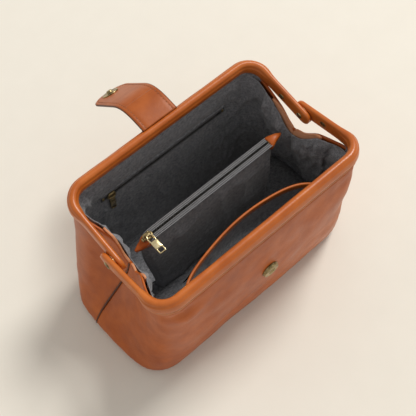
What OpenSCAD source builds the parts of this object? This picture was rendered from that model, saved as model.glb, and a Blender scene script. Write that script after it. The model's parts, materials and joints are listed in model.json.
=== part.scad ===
// Framed leather toiletry bag, standing open. Length along X, front (snap side) at -Y,
// closing strap at +Y, the underside of the base on Z = 0.

/* [Body] */
// Length of the base panel
base_len = 258; // [240:1:280]
// Depth of the base panel
base_dep = 115; // [108:1:118]
// Thickness of the leather
leather = 2.2; // [1.6:0.1:2.4]
// How far the walls swell outward between base and frame
belly = 7; // [0:0.5:9]
// Half depth of the walls just above the base
foot_half = 67; // [66:0.5:70]
// Depth of the inward fold at the middle of each end
end_fold = 15; // [8:1:18]
// How far the free edge of each end dips at its middle
end_dip = 14; // [8:1:18]

/* [Frame] */
// Height of the two pivots above the floor
pin_z = 146; // [144:0.5:148]
// Distance from the pivot line to the outside of a bar
reach = 72; // [70:0.5:74]
// Width of the frame band
band = 15; // [13:0.5:16]
// Thickness of a cased frame band
cased = 5; // [4:0.25:5]
// How far each frame half is tilted up when the bag stands open
tilt = 11.5; // [9:0.5:13]
// Outer half length of the back frame half, the inner layer of arms
inner_half = 110.5; // [106:0.5:111]
// Outside corner radius of a frame half
corner_r = 16; // [10:1:20]
// Length of an arm beyond its pivot
arm_tail = 11; // [8:0.5:12]

/* [Strap] */
// Width of the closing strap
strap_w = 38; // [30:1:42]
// Thickness of the closing strap
strap_t = 2.6; // [2:0.1:3]
// Radius of a magnetic snap
snap_r = 9; // [7:0.5:9.5]

/* [Pockets] */
// Height of the top of the centre pocket
divider_z = 124; // [118:1:130]
// Position of the centre pocket across the bag
divider_y = 6.8; // [4:0.1:8]
// Half length of the centre pocket
divider_half = 82; // [60:1:83]
// Height of the top edge of the front slip pocket
slip_z = 115; // [100:1:120]
// Height of the zip in the back lining
back_zip_z = 110; // [95:1:118]

/* [Hidden] */
$fn = 64;

tan_leather = [0.66, 0.36, 0.19];
dark_leather = [0.50, 0.26, 0.14];
grey_cloth = [0.22, 0.22, 0.23];
old_brass = [0.50, 0.42, 0.29];
steel = [0.62, 0.62, 0.60];
fit = 0.3;

// Frame geometry: band limits are measured from the pivot line, up towards the rim.
rim_v = band - 7;
seam_v = -7;
outer_half = inner_half + cased + 1.1;
seam_y = reach * cos(tilt) - seam_v * sin(tilt);
seam_z = pin_z + reach * sin(tilt) + seam_v * cos(tilt);
strip_t = 1.6;
pin_r = 2;

// Layers of a wall, as depths from its outer face.
lining_in = 4.3;
lining_t = 1;
wall_low = 2;
// The frame folds down over the top edge of each layer, so the inner ones stop lower.
panel_top = seam_z - 4;
lining_top = seam_z - 6.5;
foot_r = 12;
foot_half_len = 117;
wall_low_half = 127;
wall_top_half = 107.5;

// Half depth of a wall's outer face at height z.
function wall_y(z) = foot_half + (seam_y - foot_half) * z / seam_z
    + belly * sin(180 * z / seam_z)
    - (z < foot_r ? foot_r - sqrt(foot_r * foot_r - pow(foot_r - z, 2)) : 0);
// Slope angle of a wall at height z, positive where it leans outward.
function wall_lean(z) = atan((wall_y(z + 1) - wall_y(z - 1)) / 2);
// Underside of a frame arm at distance y from the middle.
function arm_under(y) = pin_z + abs(y) * tan(tilt) + seam_v / cos(tilt);
function smooth(t) = let (c = min(1, max(0, t))) c * c * (3 - 2 * c);

// Between two surfaces given over the unit square, a closed sheet.
module sheet(face_a, face_b, nu, nv) {
    nodes_a = [for (j = [0 : nv]) for (i = [0 : nu]) face_a(i / nu, j / nv)];
    nodes_b = [for (j = [0 : nv]) for (i = [0 : nu]) face_b(i / nu, j / nv)];
    row = nu + 1;
    far = row * (nv + 1);
    quads = [for (j = [0 : nv - 1]) for (i = [0 : nu - 1]) j * row + i];
    a_side = [for (q = quads) each [[q, q + 1, q + row + 1], [q, q + row + 1, q + row]]];
    b_side = [for (f = a_side) [f[2] + far, f[1] + far, f[0] + far]];
    rim = concat([for (i = [0 : nu]) i],
        [for (j = [1 : nv]) j * row + nu],
        [for (i = [nu - 1 : -1 : 0]) nv * row + i],
        [for (j = [nv - 1 : -1 : 1]) j * row]);
    n = len(rim);
    edge = [for (k = [0 : n - 1]) let (p = rim[k], q = rim[(k + 1) % n])
        each [[q, p, p + far], [q, p + far, q + far]]];
    polyhedron(points = concat(nodes_a, nodes_b), faces = concat(a_side, b_side, edge));
}

module profile_bar(points, half) {
    rotate([90, 0, 90])
        linear_extrude(height = 2 * half, center = true)
            polygon(points);
}

// A slab of the back wall between two depths from its outer face.
module wall_slab(depth_a, depth_b, low, top, foot_len, low_half, top_half) {
    steps = 14;
    heights = [for (i = [0 : steps]) low + (top - low) * i / steps];
    face = [for (z = heights) [wall_y(z) - depth_a, z]];
    inner = [for (i = [steps : -1 : 0]) [wall_y(heights[i]) - depth_b, heights[i]]];
    intersection() {
        profile_bar(concat(face, inner), low_half + 5);
        rotate([90, 0, 0])
            linear_extrude(height = 400, center = true)
                polygon([[-foot_len, low], [foot_len, low], [low_half, low + foot_r],
                    [top_half, top], [-top_half, top], [-low_half, low + foot_r]]);
    }
}

// Puts a child drawn flat on the XY plane onto the back wall, at a depth from its outer face.
// The child's +Z points into the bag and its +Y points up the wall.
module on_wall(z, depth) {
    translate([0, wall_y(z) - depth, z])
        rotate([90 - wall_lean(z), 0, 0])
            children();
}

module front_side() {
    mirror([0, 1, 0]) children();
}

module rounded_plate(len, dep, r, h) {
    linear_extrude(height = h) {
        square([len - 2 * r, dep], center = true);
        square([len, dep - 2 * r], center = true);
        for (sx = [-1, 1], sy = [-1, 1])
            translate([sx * (len / 2 - r), sy * (dep / 2 - r)]) circle(r);
    }
}

// ---- Base ----
module base_panel() {
    color(tan_leather) rounded_plate(base_len, base_dep, 18, 2.4);
}

module base_board() {
    color("burlywood")
        translate([0, 0, 2.4]) rounded_plate(base_len - 14, base_dep - 14, 14, 2.4);
}

module base_lining() {
    color(grey_cloth)
        translate([0, 0, 4.8]) rounded_plate(base_len - 16, base_dep - 18, 13, 1);
}

// ---- Ends ----
// The end surface at a depth from its outer face; u runs from front to back, v upward.
dip_half = 26;
end_x = base_len / 2 - 0.5;
end_taper = 17;
end_gap = 1;
function end_top(y, drop) = arm_under(y) - 1
    - drop * (1 - smooth((abs(y) - dip_half) / 22));
function end_x_at(s, z, depth) = let (h = z / seam_z)
    end_x - end_taper * h - end_fold * (1 - abs(s)) * smooth(h * 1.4)
        - 6 * pow(abs(s), 8) - depth;
function end_point(u, v, depth, drop, cut) =
    let (s = 2 * u - 1,
        low = depth > leather ? 7 : 2.7,
        z_edge = low + v * (seam_z - 8 - cut - low),
        y = s * (wall_y(z_edge) - leather - 1 - depth),
        z = low + v * (end_top(y, drop) - cut - low))
    [end_x_at(s, z, depth), y, z];

module end_sheet(depth_a, depth_b, drop, cut) {
    sheet(function (u, v) end_point(1 - u, v, depth_a, drop, cut),
        function (u, v) end_point(1 - u, v, depth_b, drop, cut), 20, 10);
}

module right_gusset() {
    color(tan_leather) end_sheet(0, leather, end_dip, 0);
}

module left_gusset() {
    color(tan_leather) mirror([1, 0, 0]) end_sheet(0, leather, end_dip, 0);
}

module right_gusset_lining() {
    color(grey_cloth) end_sheet(leather + end_gap, leather + end_gap + lining_t, end_dip, 12);
}

module left_gusset_lining() {
    color(grey_cloth)
        mirror([1, 0, 0]) end_sheet(leather + end_gap, leather + end_gap + lining_t, end_dip, 12);
}

// Leather facing along the free edge, notched at the middle.
facing_half = 34;
function facing_point(u, v, depth) =
    let (y = facing_half * (2 * u - 1),
        notch = 3 * max(0, 1 - abs(y) / 4),
        z = end_top(y, end_dip) - 11 + v * (10.5 - notch))
    [end_x_at(y / (seam_y - leather - 1 - depth), z, depth), y, z];

module facing() {
    color(dark_leather)
        sheet(function (u, v) facing_point(1 - u, v, leather + end_gap),
            function (u, v) facing_point(1 - u, v, leather + end_gap + 1.2), 16, 2);
}

module right_gusset_facing() {
    facing();
}

module left_gusset_facing() {
    mirror([1, 0, 0]) facing();
}

// ---- Centre zip pocket ----
divider_gap = 4;
cloth_t = 1.5;
tape_w = 4.3;
chain_w = 2.2;
module divider_panel() {
    translate([-divider_half, divider_gap, 7])
        cube([2 * divider_half, cloth_t, divider_z - 7]);
}

module divider_back() {
    color(grey_cloth) translate([0, divider_y, 0]) divider_panel();
}

module divider_front() {
    color(grey_cloth) translate([0, divider_y, 0]) front_side() divider_panel();
}

module tape_half(half) {
    translate([-half, chain_w / 2, 0]) cube([2 * half, tape_w, 1]);
}

module divider_tape_back() {
    color(grey_cloth) translate([0, divider_y, divider_z]) tape_half(divider_half);
}

module divider_tape_front() {
    color(grey_cloth)
        translate([0, divider_y, divider_z]) front_side() tape_half(divider_half);
}

// A row of interlocked teeth on a core, along X.
module zip_chain(half) {
    pitch = 2.4;
    count = floor(2 * half / pitch);
    translate([-half, -chain_w / 2 + 0.4, 0]) cube([2 * half, chain_w - 0.8, 1]);
    for (i = [0 : count - 1])
        translate([-half + (i + 0.25) * pitch, -chain_w / 2, 0])
            cube([pitch / 2, chain_w, 1.5]);
}

divider_zip_half = divider_half - 6;
module divider_teeth() {
    color(old_brass) translate([0, divider_y, divider_z]) zip_chain(divider_zip_half);
}

module zip_stop() {
    translate([-1.2, -1.8, 0]) cube([2.4, 3.6, 1.8]);
}

module divider_stops() {
    color(old_brass)
        for (sx = [-1, 1])
            translate([sx * (divider_zip_half + 2), divider_y, divider_z + 1])
                zip_stop();
}

// Folded leather that ties the end of the pocket to the side seam.
module divider_tab() {
    color(tan_leather)
        translate([divider_half + fit, divider_y, 0])
            rotate([90, 0, 0])
                linear_extrude(height = 7, center = true)
                    polygon([[0, divider_z - 4], [0, divider_z - 26],
                        [11, divider_z - 22], [11, divider_z - 6]]);
}

module divider_right_tab() {
    divider_tab();
}

module divider_left_tab() {
    mirror([1, 0, 0]) divider_tab();
}

// ---- Zip sliders and pulls ----
eye_r = 1.3;
eye_bar_r = 0.9;
slider_len = 10;
slider_w = 8;
eye_out = 3.2;
eye_z = 4.7;
lug_h = 2.2;
// Slider lying on a chain along X; its pull bar stands on the -Y side.
module slider_body(side_lug) {
    translate([-slider_len / 2, -slider_w / 2, 1.8]) cube([slider_len, slider_w, 1.4]);
    translate([-1.5, -eye_out, eye_z])
        rotate([0, 90, 0]) cylinder(r = eye_bar_r - 0.35, h = 3);
    for (x = [-2.6, 1.4]) {
        translate([x, -eye_out - eye_bar_r, 3.2])
            cube([1.2, eye_out + side_lug, lug_h]);
        translate([x, -eye_out, eye_z])
            rotate([0, 90, 0]) cylinder(r = eye_bar_r, h = 1.2);
    }
}

// Pull drawn along -Y from its eye at the origin.
module pull_tab(len, w) {
    difference() {
        union() {
            rotate([0, 90, 0]) cylinder(r = eye_r, h = 2.2, center = true);
            translate([-1.1, -5, -0.7]) cube([2.2, 5, 1.4]);
            translate([-w / 2, -len + w / 2, -0.8]) cube([w, len - w / 2 - 4, 1.6]);
            translate([0, -len + w / 2, -0.8]) cylinder(r = w / 2, h = 1.6);
        }
        rotate([0, 90, 0]) cylinder(r = eye_bar_r - 0.2, h = 3, center = true);
        translate([-w / 4, -len + w / 2, -2]) cube([w / 2, w / 2, 4]);
    }
}

divider_slider_x = -(divider_zip_half - 6);
divider_eye = [divider_slider_x, divider_y - eye_out, divider_z + eye_z];
module divider_slider() {
    color(old_brass) translate([divider_slider_x, divider_y, divider_z]) slider_body(2);
}

module divider_pull() {
    color(old_brass) translate(divider_eye) pull_tab(18.3, 7);
}

// ---- Walls ----
module panel_slab() {
    wall_slab(0, leather, wall_low, panel_top, foot_half_len, wall_low_half, wall_top_half);
}

module front_panel() {
    color(tan_leather)
        front_side() panel_slab();
}

module back_panel() {
    color(tan_leather) panel_slab();
}

module lining_slab() {
    wall_slab(lining_in, lining_in + lining_t, 13, lining_top, 108, 109, 99);
}

module front_lining() {
    color(grey_cloth) front_side() lining_slab();
}

zip_slot_half = 76;
zip_slot_w = 9;
module back_lining() {
    color(grey_cloth)
        difference() {
            lining_slab();
            translate([-zip_slot_half, 0, back_zip_z - zip_slot_w / 2])
                cube([2 * zip_slot_half, 200, zip_slot_w]);
        }
}

// Cloth pouch between the back panel and its lining.
module back_pocket_bag() {
    color(grey_cloth)
        wall_slab(leather + fit, lining_in - fit, 30, back_zip_z - 8, 80, 84, 80);
}

module back_zip_tape() {
    color(grey_cloth)
        on_wall(back_zip_z, lining_in - 0.5) difference() {
            translate([-zip_slot_half + 1, -3.9, 0]) cube([2 * zip_slot_half - 2, 7.8, 1]);
            translate([-back_chain_half, -chain_w / 2, -1])
                cube([2 * back_chain_half, chain_w, 3]);
        }
}

back_chain_half = zip_slot_half - 4.3;
module back_zip_teeth() {
    color(old_brass)
        on_wall(back_zip_z, lining_in - 0.5) zip_chain(back_chain_half);
}

module back_zip_stops() {
    color(old_brass)
        for (sx = [-1, 1])
            on_wall(back_zip_z, lining_in + 0.5)
                translate([sx * (back_chain_half + 1.6), 0, 0]) zip_stop();
}

back_slider_x = -(back_chain_half - 7);
module back_slider() {
    color(old_brass)
        on_wall(back_zip_z, lining_in - 0.5)
            translate([back_slider_x, 0, 0]) slider_body(2);
}

module back_pull() {
    color(old_brass)
        on_wall(back_zip_z, lining_in - 0.5)
            translate([back_slider_x, -eye_out, eye_z]) pull_tab(22, 6);
}

// Slip pocket that stands away from the front lining along its top edge.
slip_half = 88;
slip_low = 40;
slip_out = 22;
function slip_point(u, v, depth) =
    let (x = slip_half * (2 * u - 1),
        z = slip_low + v * (slip_z - slip_low),
        open = slip_out * pow(sin(180 * u), 0.7) * v * v)
    [x, -(wall_y(z) - lining_in - lining_t - fit - depth - open), z];

module slip_pocket() {
    color(grey_cloth)
        sheet(function (u, v) slip_point(u, v, 0),
            function (u, v) slip_point(u, v, 1.2), 20, 8);
}

function trim_point(u, v, depth) =
    let (p = slip_point(u, 1, depth - 0.2)) [p[0], p[1], slip_z + fit + 4 * v];

module slip_pocket_trim() {
    color(tan_leather)
        sheet(function (u, v) trim_point(u, v, 0),
            function (u, v) trim_point(u, v, 2.4), 20, 1);
}

// ---- Magnetic snap on the front panel ----
front_snap_z = 90;
module front_snap() {
    color(old_brass)
        front_side() on_wall(front_snap_z, 0) mirror([0, 0, 1])
            difference() {
                union() {
                    cylinder(r = snap_r, h = 1);
                    cylinder(r = snap_r - 0.8, h = 3.2);
                }
                translate([0, 0, 0.8]) cylinder(r = 3.6, h = 3);
            }
}

module front_snap_washer() {
    color(steel)
        front_side() on_wall(front_snap_z, leather + 0.6) cylinder(r = snap_r - 1, h = 0.8);
}

// ---- Frame halves ----
arm_end_r = band / 2;
arm_end_y = arm_tail - arm_end_r;
module u_outline(half, far_u, t, r) {
    difference() {
        union() {
            translate([-half, -far_u + r]) square([2 * half, far_u - r + arm_end_y]);
            translate([-half + r, -far_u]) square([2 * half - 2 * r, far_u]);
            for (sx = [-1, 1]) translate([sx * (half - r), -far_u + r]) circle(r);
        }
        translate([-half + t, -far_u + r]) square([2 * (half - t), far_u + arm_tail]);
        translate([-half + r, -far_u + t]) square([2 * (half - r), far_u]);
        for (sx = [-1, 1]) translate([sx * (half - r), -far_u + r]) circle(r - t);
    }
}

// A frame half drawn about its pivot line, its bar towards -Y.
module strip_shape(half) {
    inset = (cased - strip_t) / 2;
    translate([0, 0, seam_v + 2])
        linear_extrude(height = band - 4)
            u_outline(half - inset, reach - inset, strip_t, corner_r - inset);
}

module arm_bores() {
    for (y = [0, -rivet_in])
        translate([0, y, 0])
            rotate([0, 90, 0]) cylinder(r = pin_r, h = 400, center = true);
}

rivet_in = 24;
// Height of a rivet head in the gap between the arms
low_head = 0.8;
module casing_shape(half) {
    difference() {
        union() {
            translate([0, 0, seam_v])
                linear_extrude(height = band) u_outline(half, reach, cased, corner_r);
            for (x = [-half, half - cased])
                translate([x, arm_end_y, seam_v + arm_end_r])
                    rotate([0, 90, 0]) cylinder(r = arm_end_r, h = cased);
        }
        strip_shape(half);
        arm_bores();
    }
}

module strip_bored(half) {
    difference() {
        strip_shape(half);
        arm_bores();
    }
}

module open_tilt() {
    translate([0, 0, pin_z]) rotate([-tilt, 0, 0]) children();
}

module front_frame_strip() {
    color(steel) open_tilt() strip_bored(outer_half);
}

module front_casing() {
    color(tan_leather) open_tilt() casing_shape(outer_half);
}

module back_frame_strip() {
    color(steel) front_side() open_tilt() strip_bored(inner_half);
}

module back_casing() {
    color(tan_leather) front_side() open_tilt() casing_shape(inner_half);
}

// Pin or rivet across one arm, its head on the outer or the inner face.
module arm_pin(half, y, head_r, head_h, head_out) {
    open_tilt() translate([half - cased, y, 0]) rotate([0, 90, 0]) {
        cylinder(r = pin_r, h = cased);
        if (head_out)
            translate([0, 0, cased]) cylinder(r1 = head_r, r2 = head_r - 0.8, h = head_h);
        else
            translate([0, 0, -head_h]) cylinder(r1 = head_r - 0.8, r2 = head_r, h = head_h);
    }
}

module front_right_pin() {
    color(old_brass) arm_pin(outer_half, 0, 4, 1.3, true);
}

module front_left_pin() {
    color(old_brass) mirror([1, 0, 0]) arm_pin(outer_half, 0, 4, 1.3, true);
}

module front_right_rivet() {
    color(old_brass) arm_pin(outer_half, -rivet_in, 3.2, low_head, false);
}

module front_left_rivet() {
    color(old_brass) mirror([1, 0, 0]) arm_pin(outer_half, -rivet_in, 3.2, low_head, false);
}

module back_right_pin() {
    color(old_brass) front_side() arm_pin(inner_half, 0, 3.2, 1.3, false);
}

module back_left_pin() {
    color(old_brass) mirror([1, 0, 0]) front_side() arm_pin(inner_half, 0, 3.2, 1.3, false);
}

module back_right_rivet() {
    color(old_brass) front_side() arm_pin(inner_half, -rivet_in, 3.2, 1.3, false);
}

module back_left_rivet() {
    color(old_brass) mirror([1, 0, 0]) front_side() arm_pin(inner_half, -rivet_in, 3.2, 1.3, false);
}

module hinge_washer() {
    color("goldenrod")
        translate([inner_half, 0, pin_z]) rotate([0, 90, 0]) cylinder(r = 6, h = 0.7);
}

module right_hinge_washer() {
    hinge_washer();
}

module left_hinge_washer() {
    mirror([1, 0, 0]) hinge_washer();
}

// ---- Closing strap ----
// Patch sewn to the back panel below the seam, then the anchor over the casing.
module strap_patch() {
    color(tan_leather)
        intersection() {
            wall_slab(-strap_t, 0, seam_z - 40, seam_z - 0.5, 200, 200, 200);
            translate([-strap_w / 2, 0, 0]) cube([strap_w, 200, 300]);
        }
}

module strap_anchor() {
    color(tan_leather)
        front_side() open_tilt()
            translate([-strap_w / 2, -reach - strap_t, seam_v + 0.8])
                cube([strap_w, strap_t, band - 2.5]);
}

// Droop of the strap: points along its middle line, from the swing hinge at the rim.
rim_y = reach * cos(tilt) + strap_t - rim_v * sin(tilt);
rim_z = pin_z + reach * sin(tilt) + rim_v * cos(tilt);
bend_at = 26;
bend_gap = 2.4;
strap_len = 106;
droop_start = -8;
droop_end = 46;
strap_steps = 16;
function droop(s) = droop_start + (droop_end - droop_start) * smooth((s - 2) / 46);
function strap_mid(s) = s <= 0 ? [rim_y + 1, rim_z + 0.4]
    : let (d = min(s, 6), p = strap_mid(s - d), a = droop(s - d / 2))
        [p[0] + d * cos(a), p[1] - d * sin(a)];
function strap_side(s, off) = let (p = strap_mid(s), a = droop(s))
    [p[0] + off * sin(a), p[1] + off * cos(a)];

module strap_run(from, to) {
    marks = [for (i = [0 : strap_steps]) from + (to - from) * i / strap_steps];
    profile_bar(concat([for (s = marks) strap_side(s, strap_t / 2)],
        [for (i = [strap_steps : -1 : 0]) strap_side(marks[i], -strap_t / 2)]), strap_w / 2);
}

module strap_arm() {
    color(tan_leather) strap_run(0.8, bend_at - bend_gap);
}

// The tip is rounded in plan.
module strap_tip() {
    tip_y = strap_mid(strap_len)[0];
    color(tan_leather)
        intersection() {
            strap_run(bend_at + bend_gap, strap_len);
            translate([0, 0, -100]) linear_extrude(height = 500) {
                translate([-strap_w / 2, 0]) square([strap_w, tip_y - 14]);
                translate([-strap_w / 2 + 14, 0]) square([strap_w - 28, tip_y]);
                for (sx = [-1, 1])
                    translate([sx * (strap_w / 2 - 14), tip_y - 14]) circle(14);
            }
        }
}

snap_s = 92.5;
module on_strap(off) {
    p = strap_side(snap_s, off);
    translate([0, p[0], p[1]]) rotate([-droop(snap_s), 0, 0]) children();
}

module strap_snap() {
    color(old_brass)
        on_strap(strap_t / 2 + 0.1) {
            cylinder(r = snap_r - 0.5, h = 1.6);
            cylinder(r = 3, h = 3.4);
        }
}

module strap_snap_cap() {
    color(old_brass)
        on_strap(-strap_t / 2 - 1.1) cylinder(r = snap_r - 2, h = 0.8);
}

base_panel();
base_board();
base_lining();
left_gusset();
right_gusset();
left_gusset_lining();
right_gusset_lining();
left_gusset_facing();
right_gusset_facing();
divider_front();
divider_back();
divider_tape_front();
divider_tape_back();
divider_teeth();
divider_stops();
divider_left_tab();
divider_right_tab();
divider_slider();
divider_pull();
front_panel();
front_lining();
slip_pocket();
slip_pocket_trim();
front_snap();
front_snap_washer();
back_panel();
back_lining();
back_pocket_bag();
back_zip_tape();
back_zip_teeth();
back_zip_stops();
strap_patch();
back_slider();
back_pull();
front_frame_strip();
front_casing();
front_left_pin();
front_right_pin();
front_left_rivet();
front_right_rivet();
back_frame_strip();
back_casing();
back_left_pin();
back_right_pin();
back_left_rivet();
back_right_rivet();
left_hinge_washer();
right_hinge_washer();
strap_anchor();
strap_arm();
strap_tip();
strap_snap();
strap_snap_cap();
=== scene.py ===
"""Framed leather toiletry bag, standing open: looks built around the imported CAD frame."""
import json
import math

import bpy
from mathutils import Matrix, Vector, noise


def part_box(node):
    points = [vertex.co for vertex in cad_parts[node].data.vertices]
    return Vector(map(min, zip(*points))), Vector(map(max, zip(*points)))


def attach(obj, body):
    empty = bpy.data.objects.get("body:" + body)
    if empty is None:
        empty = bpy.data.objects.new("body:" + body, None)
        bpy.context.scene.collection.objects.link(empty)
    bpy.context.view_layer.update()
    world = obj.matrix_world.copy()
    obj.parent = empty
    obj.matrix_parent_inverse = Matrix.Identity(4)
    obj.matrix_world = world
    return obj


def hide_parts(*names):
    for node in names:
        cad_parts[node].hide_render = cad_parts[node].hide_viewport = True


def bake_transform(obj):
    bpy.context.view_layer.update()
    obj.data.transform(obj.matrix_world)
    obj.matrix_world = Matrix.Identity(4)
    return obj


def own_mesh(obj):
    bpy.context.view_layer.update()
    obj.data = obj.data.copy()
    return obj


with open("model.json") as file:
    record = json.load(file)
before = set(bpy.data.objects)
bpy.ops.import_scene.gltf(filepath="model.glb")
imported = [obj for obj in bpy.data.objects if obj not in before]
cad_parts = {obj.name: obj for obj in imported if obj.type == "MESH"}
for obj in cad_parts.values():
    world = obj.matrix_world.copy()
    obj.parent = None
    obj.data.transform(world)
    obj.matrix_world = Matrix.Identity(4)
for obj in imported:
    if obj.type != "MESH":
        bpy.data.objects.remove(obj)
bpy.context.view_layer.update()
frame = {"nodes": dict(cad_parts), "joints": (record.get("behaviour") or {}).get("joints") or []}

# ---------------------------------------------------------------- frame measures
# Lengths in this script are millimetres; make_mesh turns them into metres.
MM = 0.001
JOINTS = {j["name"]: j for j in frame["joints"]}


def joint_mm(name):
    return Vector(JOINTS[name]["pos_m"]) / MM


def box_mm(node):
    low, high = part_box(node)
    return Vector(low) / MM, Vector(high) / MM


SEAM = joint_mm("back_frame_fold")
SEAM_Y, SEAM_Z = SEAM.y, SEAM.z
WALL_FOOT = joint_mm("back_wall_lean").y
STRAP_ROOT = joint_mm("strap_swing")
washer_low, washer_high = box_mm("right_hinge_washer")
PIVOT_Z = (washer_low.z + washer_high.z) / 2
INNER_HALF = box_mm("back_casing")[1].x
OUTER_HALF = box_mm("front_casing")[1].x
BASE_HALF = box_mm("base_panel")[1]
DIVIDER = box_mm("divider_teeth")
DIVIDER_Y = (DIVIDER[0].y + DIVIDER[1].y) / 2
DIVIDER_Z = DIVIDER[0].z
DIVIDER_HALF = box_mm("divider_front")[1].x
BACK_ZIP = box_mm("back_zip_teeth")
BACK_ZIP_Z = (BACK_ZIP[0].z + BACK_ZIP[1].z) / 2

# Frame half, drawn about its pivot line with the bar towards -Y.
CASED = 5.0
RIM_V = 8.0
SEAM_V = -7.0
BAND = RIM_V - SEAM_V
CORNER_R = 21.0
ARM_TAIL = 11.0
SEWN_TAIL = -50.0
RIVET_IN = 24.0
TILT = math.radians(11.5)
REACH = (SEAM_Y + SEAM_V * math.sin(TILT)) / math.cos(TILT)

# Body of the bag.
FOOT_HALF = 67.0
FOOT_R = 12.0
BELLY = 7.0
END_X = BASE_HALF.x - 0.5
END_FOLD = 12.0
END_TAPER = 14.0
# Left end (-1) and right end (1) were pushed in a little differently.
END_DIP = {-1: 19.0, 1: 10.0}
END_OUT = {-1: -12.0, 1: -3.0}
END_BULGE = {-1: 13.0, 1: 6.0}
FOOT_CORNER = {-1: 4.0, 1: -5.0}
CORNER_LEAN = {-1: 1.6, 1: 1.05}
SEAM_SLANT = {-1: 17.0, 1: 6.0}
DIP_FRONT = (10.0, 18.0)
DIP_BACK = (3.0, 18.0)
TOP_INSET = 2.4
LEATHER = 2.2
LINING_IN = 4.4
LINING_T = 0.9

FRONT = -1
BACK = 1
HALF = {FRONT: "front", BACK: "back"}
HAND = {-1: "left", 1: "right"}
# The CAD's left end nodes are replaced with the front half's pieces and the right with the back's,
# so HAND is also indexed with FRONT and BACK there.
FRAME_HALF = {FRONT: OUTER_HALF, BACK: INNER_HALF}


def clamp(t):
    return min(1.0, max(0.0, t))


def smooth(t):
    t = clamp(t)
    return t * t * (3 - 2 * t)


def lerp(a, b, t):
    return a + (b - a) * t


def span(low, high, count):
    return [lerp(low, high, i / count) for i in range(count + 1)]


def foot_round(z):
    """How far the leather curls under near the floor."""
    return FOOT_R - math.sqrt(max(0.0, FOOT_R ** 2 - (FOOT_R - z) ** 2)) if z < FOOT_R else 0.0


def wall_y(z):
    """Half depth of the outer face of a wall at height z."""
    rise = clamp(z / SEAM_Z)
    return (FOOT_HALF + (SEAM_Y - FOOT_HALF) * rise + BELLY * math.sin(math.pi * rise)
            - foot_round(z))


def arm_under(y):
    return PIVOT_Z + abs(y) * math.tan(TILT) + SEAM_V / math.cos(TILT)


def end_top(y, hand):
    """Height of the free edge of an end."""
    flat, ramp = DIP_FRONT if y < 0 else DIP_BACK
    dip = END_DIP[hand] * (1 - smooth((abs(y) - flat) / ramp))
    return min(arm_under(y) - 1 - dip, SEAM_Z)


# ---------------------------------------------------------------- mesh helpers
def make_mesh(name, points, faces, material, smooth_faces=True):
    mesh = bpy.data.meshes.new(name)
    mesh.from_pydata([tuple(MM * c for c in p) for p in points], [], faces)
    mesh.validate()
    for face in mesh.polygons:
        face.use_smooth = smooth_faces
    mesh.materials.append(material)
    obj = bpy.data.objects.new(name, mesh)
    bpy.context.collection.objects.link(obj)
    return obj


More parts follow.
